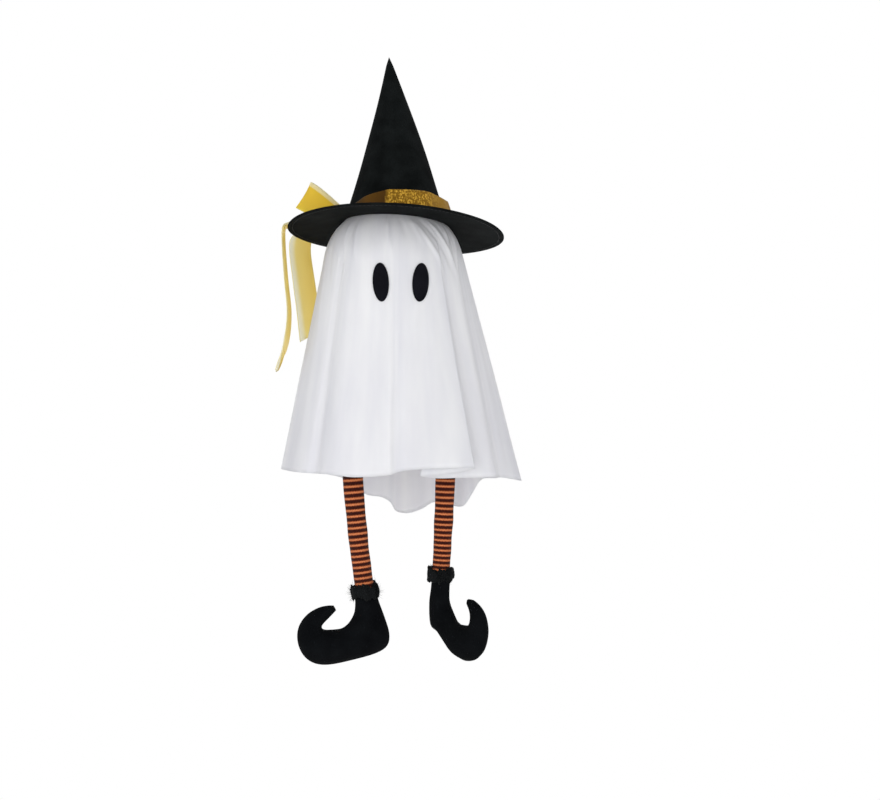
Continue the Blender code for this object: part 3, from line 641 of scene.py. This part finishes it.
def organza_material(name, stops):
    """Yellow organza: crisp and sheer, so that light comes through it, with a denser
    woven rim. Its threads are 0.2 mm apart, and 1 mm here, so that they show."""
    organza, shader = new_material(name, stops[-1][1], 0.4)
    shader.inputs["Specular IOR Level"].default_value = 0.2
    place = add_node(organza, "UVMap", uv_map="cloth")
    parts = add_node(organza, "SeparateXYZ", links={0: place.outputs["UV"]})
    tone = add_node(organza, "ValToRGB", links={0: parts.outputs["X"]}, stops=stops)
    warp = add_node(organza, "TexWave", {"Scale": 0.314 / 0.033}, {"Vector": place.outputs["UV"]},
                    bands_direction="X")
    weft = add_node(organza, "TexWave", {"Scale": 0.314 / 0.033}, {"Vector": place.outputs["UV"]},
                    bands_direction="Y")
    threads = add_node(organza, "Math", links={0: warp.outputs["Fac"], 1: weft.outputs["Fac"]},
                       operation="ADD")
    weave = add_node(organza, "Bump", {"Strength": 0.15, "Distance": 0.1 * MM},
                     {"Height": threads.outputs["Value"]})
    through = add_node(organza, "BsdfTranslucent", links={0: tone.outputs["Color"]})
    thin = add_node(organza, "MixShader", {0: 0.6}, {1: shader.outputs[0], 2: through.outputs[0]})
    organza.node_tree.links.new(tone.outputs["Color"], shader.inputs["Base Color"])
    organza.node_tree.links.new(weave.outputs["Normal"], shader.inputs["Normal"])
    output = organza.node_tree.nodes["Material Output"]
    organza.node_tree.links.new(thin.outputs[0], output.inputs[0])
    return organza


doubled = organza_material("yellow organza in two layers",
                           [(0.0, "FBF2A4"), (0.05, "FAEA68"), (0.5, "FAE85E"), (0.84, "F9E65A"),
                            (0.88, "FCF5CC"), (1.0, "FDF8DC")])
single = organza_material("yellow organza in one layer",
                          [(0.0, "FDF4B8"), (0.04, "FEFCF0"), (0.16, "FEFAE4"), (0.32, "FDF0B0"),
                           (0.95, "FCEA9C"), (1.0, "FDF2B0")])


def ribbon(name, stations):
    """Lay a ribbon through stations, each a middle and half its width, as six numbers."""
    along, last = (len(stations) - 1) * ALONG_CELLS, len(stations) - 1.0001
    bm = bmesh.new()
    bmesh.ops.create_grid(bm, x_segments=ACROSS_CELLS, y_segments=along, size=1.0)
    spots = {point: ((point.co.x + 1) / 2, (point.co.y + 1) / 2) for point in bm.verts}
    plan = bm.loops.layers.uv.new("cloth")
    for face in bm.faces:
        for corner in face.loops:
            share, down = spots[corner.vert]
            corner[plan].uv = (share, down * along / 8)
    for point, (share, down) in spots.items():
        spot = min(down * (len(stations) - 1), last)
        row, next_row = between(stations, spot), between(stations, min(spot + 0.02, last))
        middle, half = Vector(row[:3]), Vector(row[3:])
        up = half.cross(Vector(next_row[:3]) - middle).normalized()
        cup = 0.05 * half.length * math.cos(math.pi * (share - 0.5))
        wave = 0.5 * MM * noise.noise(Vector((share * 2.5, down * 9, len(name))))
        gather = 1 - smoothstep((half.length - TAIL_HALF_AT_KNOT) / (9 * MM))
        gather *= GATHER_HEIGHT * math.cos(math.tau * 3 * share)
        point.co = middle + half * (share * 2 - 1) + up * (cup + wave + gather)
    bmesh.ops.recalc_face_normals(bm, faces=bm.faces)
    return bm


def loop_stations(way, wide, out, lift):
    """List a loop's stations: out along one layer, round its end and back."""
    way, wide, out = (Vector(value).normalized() for value in (way, wide, out))
    stations = []
    for step in range(LOOP_STEPS + 1):
        turn = math.tau * step / LOOP_STEPS
        share = (1 - math.cos(turn)) / 2
        middle = KNOT + way * (LOOP_LENGTH * share) + out * (LOOP_SWELL * math.sin(turn))
        middle += wide * (lift * max(math.sin(turn), 0.0))
        half = LOOP_HALF_AT_KNOT + (RIBBON_HALF - LOOP_HALF_AT_KNOT) * smoothstep(share)
        stations.append((*middle, *(wide * half)))
    return stations


def tail_stations(turn, hang, twist, end_share, end_rise):
    """List a tail's stations: over the brim, round its edge and down."""
    tangent = HAT.to_3x3() @ Vector((-math.cos(turn), -math.sin(turn), 0))
    stations = [(*KNOT, *(tangent * TAIL_HALF_AT_KNOT))]
    for radius, share in ((66.4, 0.45), (83.2, 0.8), (97.2, 1.0), (105.6, 1.0)):
        level = brim_height(radius * MM) + brim_wave(turn, radius * MM) + BRIM_FELT
        spot = hat_point(turn, radius * MM, level + TAIL_RISE)
        stations.append((*spot, *(tangent * RIBBON_HALF * share)))
    edge = hat_point(turn, BRIM_RADIUS + 4 * MM, BRIM_EDGE_HEIGHT - 0.5 * MM)
    for index, step in enumerate(hang):
        lie = twist[0] + (twist[1] - twist[0]) * index / (len(hang) - 1)
        wide = Vector((math.cos(math.radians(lie)), math.sin(math.radians(lie)), 0))
        half = wide * RIBBON_HALF
        if index == len(hang) - 1:
            half = half * end_share + Vector((0, 0, end_rise * MM))
        stations.append((*(edge + Vector(step) * MM), *half))
    return stations


bow = bmesh.new()
bmesh.ops.create_uvsphere(bow, u_segments=28, v_segments=16, radius=1.0)
plan = bow.loops.layers.uv.new("cloth")
for face in bow.faces:
    for corner in face.loops:
        corner[plan].uv = (0.5, corner.vert.co.x * 0.1)
turned = HAT.to_3x3().to_4x4() @ Matrix.Rotation(KNOT_TURN, 4, "Z")
for point in bow.verts:
    around = math.atan2(point.co.z, point.co.y)
    crease = 1 + 0.06 * math.cos(9 * around + 3 * point.co.x)
    size = Vector((6.5 * (0.8 + 0.2 * abs(point.co.x)), 5.5 * crease, 6.0 * crease)) * MM
    point.co = KNOT + turned @ Vector([a * b for a, b in zip(point.co, size)])
knot = add_piece("bow_knot", bow, doubled)
strips = {
    "left_loop": loop_stations((-0.87, -0.10, 0.55), (0.51, 0.0, 0.86), (0.0, 1.0, 0.0), 1.5 * MM),
    "back_loop": loop_stations((0.62, 0.76, 0.28), (-0.12, -0.10, 0.99), (-0.76, 0.62, 0.0), 0.0),
    "wide_tail": tail_stations(math.radians(-118), [(0, 0, 0), (-1, 3, -14), (3, 5, -45),
                               (7, 4, -72), (11, 3, -97)], (50, 40), 1.0, 7),
    "narrow_tail": tail_stations(math.radians(-91), [(0, 0, 0), (-0.5, 0, -14), (2, 0, -50),
                                 (5, 1, -84), (1.5, 1, -116), (-8, 2, -142)], (90, 84), 0.1, 0),
}
for name, stations in strips.items():
    cloth = doubled if "loop" in name else single
    strip = add_piece("bow_" + name, ribbon(name, stations), cloth)
    wall = strip.modifiers.new("wall", "SOLIDIFY")
    wall.thickness = RIBBON_WALL
    wall.offset = 0
    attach(strip, "root")
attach(knot, "root")
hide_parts("ribbon_bow")

# Legs: knitted tubes in orange and black stripes, stuffed with fibre. Each hangs
# from the underside of the ball, and ends in a shoe.
LEG_RINGS, LEG_COLUMNS = 90, 28

# Hip, knee and ankle, half the thickness at five places, and the stripes' period
LEGS = {
    "left": ((-43.0, -7.6, -234.0), (-41.0, -8.5, -403.0), (-23.6, -9.5, -524.0),
             (9.2, 9.3, 10.0, 9.6, 9.2), 6.2),
    "right": ((58.5, -7.6, -234.0), (58.0, -8.5, -400.0), (51.1, -9.5, -507.5),
              (9.2, 9.2, 9.7, 9.3, 8.5), 5.9),
}


def knit_material(name, period):
    """Striped knit: rows of loops about 1.5 mm high, in stripes of two rows each.
    The yarn is matte, and darker between the loops."""
    knit, shader = new_material(name, "C4805A", 0.9)
    shader.inputs["Sheen Weight"].default_value = 0.03
    shader.inputs["Specular IOR Level"].default_value = 0.2
    place = add_node(knit, "UVMap", uv_map="cloth")
    parts = add_node(knit, "SeparateXYZ", links={0: place.outputs["UV"]})
    wales = add_node(knit, "Math", {1: math.tau / (1.6 * MM)}, {0: parts.outputs["X"]},
                     operation="MULTIPLY")
    swing = add_node(knit, "Math", links={0: wales.outputs["Value"]}, operation="SINE")
    lap = add_node(knit, "Math", {1: 0.06}, {0: swing.outputs["Value"]}, operation="MULTIPLY")
    count = add_node(knit, "Math", {1: 1 / (period * MM)}, {0: parts.outputs["Y"]},
                     operation="MULTIPLY")
    ragged = add_node(knit, "Math", links={0: count.outputs["Value"], 1: lap.outputs["Value"]},
                      operation="ADD")
    stripe = add_node(knit, "Math", links={0: ragged.outputs["Value"]}, operation="FRACT")
    colours = add_node(knit, "ValToRGB", links={0: stripe.outputs["Value"]},
                       stops=[(0.0, "642009"), (0.07, "300802"), (0.50, "360A02"),
                              (0.60, "9A4B26"), (0.71, "D07C4E"), (0.86, "D07C4E"), (1.0, "843818")])
    rows = add_node(knit, "Math", {1: math.tau * 2}, {0: ragged.outputs["Value"]},
                    operation="MULTIPLY")
    row_swing = add_node(knit, "Math", links={0: rows.outputs["Value"]}, operation="SINE")
    loops = add_node(knit, "Math", links={0: row_swing.outputs["Value"],
                     1: swing.outputs["Value"]}, operation="ADD")
    bumps = add_node(knit, "Bump", {"Strength": 0.6, "Distance": 0.3 * MM},
                     {"Height": loops.outputs["Value"]})
    knit.node_tree.links.new(colours.outputs["Color"], shader.inputs["Base Color"])
    knit.node_tree.links.new(bumps.outputs["Normal"], shader.inputs["Normal"])
    return knit


for name, (hip, knee, ankle, thickness, period) in LEGS.items():
    hip, knee, ankle = Vector(hip) * MM, Vector(knee) * MM, Vector(ankle) * MM
    length = (knee - hip).length + (ankle - knee).length

    def leg_point(ring, column):
        """Place one point of a leg. Its top is trimmed to the ball's underside."""
        share = (ring - 1) / (LEG_RINGS - 1)
        turn = math.tau * column / LEG_COLUMNS
        middle = hip.lerp(knee, share).lerp(knee.lerp(ankle, share), share)
        ahead = (knee - hip).lerp(ankle - knee, share).normalized()
        side = ahead.cross(Vector((0, -1, 0))).normalized()
        out = side * math.cos(turn) + side.cross(ahead) * math.sin(turn)
        radius = between([(value, value) for value in thickness], share * 3.999)[0]
        lump = noise.noise(Vector((math.cos(turn) * 0.8, math.sin(turn) * 0.8, share * 16)))
        point = middle + out * (radius + 0.45 * lump) * MM
        away = point - HEAD
        if away.length < HEAD_RADIUS + 0.3 * MM and share < 0.5:
            level = point.xy - HEAD.xy
            drop = math.sqrt(max((HEAD_RADIUS + 0.3 * MM) ** 2 - level.length_squared, 0.0))
            point.z = HEAD.z - drop - share * 2 * MM
        return point

    bm, cells = round_cells(1, LEG_RINGS, LEG_COLUMNS)
    shape_cells(bm, cells, LEG_COLUMNS, leg_point,
                lambda ring, column: (column / LEG_COLUMNS * 60 * MM,
                                      (ring - 1) / (LEG_RINGS - 1) * length))
    bmesh.ops.holes_fill(bm, edges=[edge for edge in bm.edges if edge.is_boundary], sides=0)
    bmesh.ops.recalc_face_normals(bm, faces=bm.faces)
    leg = add_piece("striped_leg_" + name, bm, knit_material("striped knit " + name, period))
    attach(leg, "root")
    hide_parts("leg_" + name)

# Shoes: two pieces of black felt, sewn together along the outline and stuffed. The
# toe curls up and back, and the seam makes a thin ridge all the way round.
SHOE_COLUMNS, SHOE_STEPS = 32, 4

# The toe's way in degrees from the front, and the rows of the shoe: the instep
# forward and down from the ankle, the sole likewise, and half the thickness
SHOES = {
    "left": (-90, [
        (10.6, 0.0, -10.6, 0.0, 7.5), (10.8, 9.0, -12.0, 13.0, 8.0),
        (13.2, 20.5, -15.6, 30.0, 9.5), (18.7, 28.7, -17.8, 46.0, 12.5),
        (23.6, 32.6, -14.2, 57.5, 14.0), (28.3, 34.5, -2.0, 63.5, 14.5),
        (34.4, 34.6, 22.0, 66.8, 15.0), (39.4, 34.2, 44.0, 68.1, 15.0),
        (43.2, 33.7, 58.0, 65.2, 14.5), (46.0, 32.6, 67.4, 57.5, 13.5),
        (46.9, 31.0, 72.0, 46.0, 12.5), (46.3, 29.1, 71.8, 34.0, 11.0),
        (44.2, 26.9, 67.4, 24.0, 9.5), (40.4, 24.0, 58.6, 15.8, 8.0),
        (36.0, 20.6, 47.6, 11.3, 6.0), (32.6, 17.9, 38.4, 10.5, 4.0),
        (30.6, 16.2, 32.5, 11.3, 1.4)]),
    "right": (45, [
        (12.0, 0.0, -10.9, 0.0, 7.5), (12.1, 15.3, -10.8, 16.3, 8.0),
        (13.3, 28.0, -11.1, 31.1, 9.5), (21.1, 42.0, -5.2, 52.1, 13.5),
        (23.3, 44.9, 6.9, 58.6, 14.5), (28.9, 46.4, 17.8, 68.3, 15.0),
        (35.2, 46.6, 27.9, 77.0, 15.0), (39.6, 46.4, 39.9, 80.4, 14.5),
        (42.8, 45.6, 51.6, 78.4, 13.5), (44.9, 43.2, 59.3, 73.4, 12.0),
        (45.8, 40.0, 64.4, 63.8, 10.5), (45.7, 36.3, 66.3, 51.5, 9.5),
        (43.9, 32.5, 64.2, 38.7, 8.0), (41.4, 29.6, 58.4, 28.7, 6.5),
        (37.9, 26.0, 48.6, 21.7, 4.0), (38.6, 23.0, 39.6, 21.0, 1.4)]),
}
shoe_felt = felt_material("black shoe felt", "07080A", "101214")
ankles = {}
for name, (toe, stations) in SHOES.items():
    knee, ankle = (Vector(point) * MM for point in LEGS[name][1:3])
    up = (knee - ankle).normalized()
    toe_way = Vector((math.sin(math.radians(toe)), -math.cos(math.radians(toe)), 0))
    forward = (toe_way - up * toe_way.dot(up)).normalized()
    place = Matrix((forward, up.cross(forward), up)).transposed().to_4x4()
    place.translation = ankle
    ankles[name] = place
    rings = (len(stations) - 1) * SHOE_STEPS

    def shoe_point(ring, column):
        """Place one point of a shoe on its lens-shaped cross section."""
        row = between(stations, min((ring - 1) / SHOE_STEPS, len(stations) - 1.001)) * MM
        instep, sole = Vector((row[0], 0, -row[1])), Vector((row[2], 0, -row[3]))
        turn = math.tau * column / SHOE_COLUMNS
        across = math.cos(turn)
        seam = math.exp(-(math.sin(turn) / 0.12) ** 2)
        reach = across * (1 - 0.8 * MM * (1 - seam) / max((sole - instep).length / 2, 2 * MM))
        thick = math.copysign(abs(math.sin(turn)) ** 1.15, math.sin(turn))
        groove = 1 - 0.10 * math.exp(-((abs(math.sin(turn)) - 0.3) / 0.12) ** 2)
        spot = (instep + sole) / 2 + (sole - instep) / 2 * reach
        spot += Vector((0, row[4] * thick * groove, -0.3 * MM))
        wrinkle = noise.noise(spot * 90) * 0.5 * MM * abs(thick)
        spot.y += math.copysign(wrinkle, thick)
        return place @ spot

    bm, cells = round_cells(1, rings + 1, SHOE_COLUMNS)
    shape_cells(bm, cells, SHOE_COLUMNS, shoe_point,
                lambda ring, column: (column * 2 * MM, ring * 3 * MM))
    bmesh.ops.holes_fill(bm, edges=[edge for edge in bm.edges if edge.is_boundary], sides=0)
    bmesh.ops.recalc_face_normals(bm, faces=bm.faces)
    shoe = add_piece("felt_shoe_" + name, bm, shoe_felt)
    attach(shoe, "root")
    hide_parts("shoe_" + name)

# Ruffles: a strip of black net gathered round each ankle over the top of the shoe.
# It is bunched into uneven lumps, and frayed threads stick out of its edges.
RUFFLE_COLUMNS, RUFFLE_RINGS, THREADS = 64, 16, 420

# Where the two frayed tufts of each stick out, in radians round the ankle
RUFFLES = {"left": (0.15, 2.6), "right": (2.7, -0.5)}

# Gathered net: black where its layers lie over each other, grey at its thin edges.
# Its holes are 1 mm wide
net, shader = new_material("black gathered net", "0A0B0B", 0.9)
shader.inputs["Sheen Weight"].default_value = 0.03
shader.inputs["Specular IOR Level"].default_value = 0.05
place = add_node(net, "TexCoord")
holes = add_node(net, "TexVoronoi", {"Scale": 1 / (1.0 * MM)}, {"Vector": place.outputs["Object"]},
                 feature="DISTANCE_TO_EDGE")
tint = add_node(net, "ValToRGB", links={0: holes.outputs["Distance"]},
                stops=[(0.0, "191B1C"), (0.25, "090A0A")])
relief = add_node(net, "Bump", {"Strength": 0.6, "Distance": 0.4 * MM},
                  {"Height": holes.outputs["Distance"]})
net.node_tree.links.new(tint.outputs["Color"], shader.inputs["Base Color"])
net.node_tree.links.new(relief.outputs["Normal"], shader.inputs["Normal"])

for seed, (name, place) in enumerate(ankles.items()):
    leg_size = LEGS[name][3][-1] * MM

    def ruffle_point(ring, column):
        """Place one point of the gathered net, an uneven roll round the ankle."""
        around = math.tau * ring / RUFFLE_RINGS
        turn = math.tau * column / RUFFLE_COLUMNS
        spot = Vector((math.cos(turn) * 1.9, math.sin(turn) * 1.9, math.cos(around) + seed * 5))
        puff = noise.noise(spot) + 0.5 * noise.noise(spot * 2.7)
        thick = (2.3 + 1.6 * puff + 0.35 * math.sin(15 * turn + 2 * around)) * MM
        radius = leg_size + (2.0 + 1.4 * puff) * MM + thick * math.cos(around)
        height = -2.2 * MM + 2.7 * thick * math.sin(around) + 1.5 * MM * math.sin(2 * turn + seed)
        return place @ Vector((radius * math.cos(turn), radius * math.sin(turn), height))

    bm, cells = round_cells(1, RUFFLE_RINGS + 1, RUFFLE_COLUMNS)
    shape_cells(bm, cells, RUFFLE_COLUMNS, ruffle_point, lambda ring, column: (ring, column))
    bmesh.ops.remove_doubles(bm, verts=bm.verts, dist=0.01 * MM)
    for index in range(THREADS):
        tuft = RUFFLES[name][index % 2]
        rise = noise.noise(Vector((index * 0.37, seed, 0.5)))
        far = abs(noise.noise(Vector((index * 0.71, seed, 9.5))))
        off = noise.noise(Vector((index * 0.53, seed, 4.2))) * 2.4
        turn = tuft + off
        length = (1.5 + 13.0 * far * math.exp(-(off / 0.5) ** 2)) * MM
        lean = Matrix.Rotation(-(rise * 2.2 + 0.2), 4, "Y") @ Matrix.Rotation(far - 0.3, 4, "Z")
        root = Vector((leg_size + 3.0 * MM, 0, (-2.5 + 9 * rise) * MM))
        spin = Matrix.Rotation(turn, 4, "Z") @ Matrix.Translation(root) @ lean
        size = Matrix.Diagonal((length, 0.4 * MM, 0.25 * MM, 1))
        shift = Matrix.Translation((length / 2, 0, 0))
        bmesh.ops.create_cone(bm, cap_ends=True, segments=5, radius1=0.5, radius2=0.06, depth=1.0,
                              matrix=place @ spin @ shift @ size
                              @ Matrix.Rotation(math.pi / 2, 4, "Y"))
    bmesh.ops.recalc_face_normals(bm, faces=bm.faces)
    ruffle = add_piece("net_ruffle_" + name, bm, net)
    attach(ruffle, "root")
    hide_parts("ruffle_" + name)

# Studio: a plain pale floor far under the hanging ghost, and a white background
FLOOR_HEIGHT, FLOOR_SIZE = -0.95, 3.0

# Matte white paper, which fades to plain white away from the shadow
paper, shader = new_material("white studio paper", "F2F2F2", 0.9)
place = add_node(paper, "TexCoord")
fibres = add_node(paper, "TexNoise", {"Scale": 400.0}, {"Vector": place.outputs["Object"]})
relief = add_node(paper, "Bump", {"Strength": 0.05, "Distance": 0.2 * MM},
                  {"Height": fibres.outputs["Fac"]})
paper.node_tree.links.new(relief.outputs["Normal"], shader.inputs["Normal"])
glow = add_node(paper, "Emission", {"Color": (1, 1, 1, 1), "Strength": 1.0})
ray = add_node(paper, "LightPath")
far = add_node(paper, "VectorMath", links={0: place.outputs["Object"]}, operation="LENGTH")
edge = add_node(paper, "MapRange", {1: 0.35, 2: 0.8, 3: 0.0, 4: 1.0}, {0: far.outputs["Value"]},
                interpolation_type="SMOOTHSTEP")
seen = add_node(paper, "Math", links={0: ray.outputs["Is Camera Ray"], 1: edge.outputs[0]},
                operation="MULTIPLY")
blend = add_node(paper, "MixShader", links={0: seen.outputs["Value"], 1: shader.outputs[0],
                 2: glow.outputs[0]})
paper.node_tree.links.new(blend.outputs[0], paper.node_tree.nodes["Material Output"].inputs[0])
bm = bmesh.new()
bmesh.ops.create_grid(bm, x_segments=8, y_segments=8, size=FLOOR_SIZE)
bmesh.ops.translate(bm, verts=bm.verts, vec=(0, 0, FLOOR_HEIGHT))
floor = add_piece("studio_floor", bm, paper)

world = bpy.data.worlds.new("studio")
bpy.context.scene.world = world
world.use_nodes = True
tree = world.node_tree
soft_light = tree.nodes["Background"]
soft_light.inputs["Color"].default_value = (0.98, 0.985, 1.0, 1.0)
way = add_node(world, "TexCoord")
way_parts = add_node(world, "SeparateXYZ", links={0: way.outputs["Generated"]})
rise = add_node(world, "Math", links={0: way_parts.outputs["Z"]}, operation="ABSOLUTE")
level = add_node(world, "MapRange", {1: 0.1, 2: 0.8, 3: 1.0, 4: 0.45}, {0: rise.outputs["Value"]},
                 interpolation_type="SMOOTHSTEP")
tree.links.new(level.outputs[0], soft_light.inputs["Strength"])
backdrop = add_node(world, "Background", {"Strength": 1.0, "Color": (1, 1, 1, 1)})
ray = add_node(world, "LightPath")
shown = add_node(world, "MixShader", links={0: ray.outputs["Is Camera Ray"],
                 1: soft_light.outputs[0], 2: backdrop.outputs[0]})
tree.links.new(shown.outputs[0], tree.nodes["World Output"].inputs["Surface"])

# Soft lamps level with the sheet: the main one in front at the left, others in
# front at the right and behind, and a small one above. Place, size and watts
LAMPS = {
    "key_lamp": ((-0.8, -1.7, -0.45), 1.3, 11.0),
    "fill_lamp": ((0.8, -1.6, -0.50), 1.3, 7.0),
    "back_lamp": ((0.0, 1.8, -0.45), 1.4, 7.0),
    "top_lamp": ((0.3, 0.4, 1.0), 0.9, 1.5),
}
for name, (spot, size, power) in LAMPS.items():
    lamp = bpy.data.lights.new(name, "AREA")
    lamp.shape = "DISK"
    lamp.size = size
    lamp.energy = power
    item = bpy.data.objects.new(name, lamp)
    item.location = spot
    item.rotation_euler = (Vector((0, 0, -0.3)) - Vector(spot)).to_track_quat("-Z", "Y").to_euler()
    bpy.context.scene.collection.objects.link(item)

# Camera: level with the middle of the picture, 1.6 m away, as the photograph shows
DISTANCE, MM_PER_PIXEL, PICTURE_WIDTH = 1.6, 0.987, 880
lens = bpy.data.cameras.new("camera")
lens.sensor_width = 36.0
lens.lens = 36.0 * DISTANCE / (PICTURE_WIDTH * MM_PER_PIXEL * MM)
camera = bpy.data.objects.new("camera", lens)
camera.location = (0.0503, -DISTANCE, -0.3385)
camera.rotation_euler = (math.pi / 2, 0, 0)
bpy.context.scene.collection.objects.link(camera)
bpy.context.scene.camera = camera
bpy.context.scene.view_settings.view_transform = "Standard"
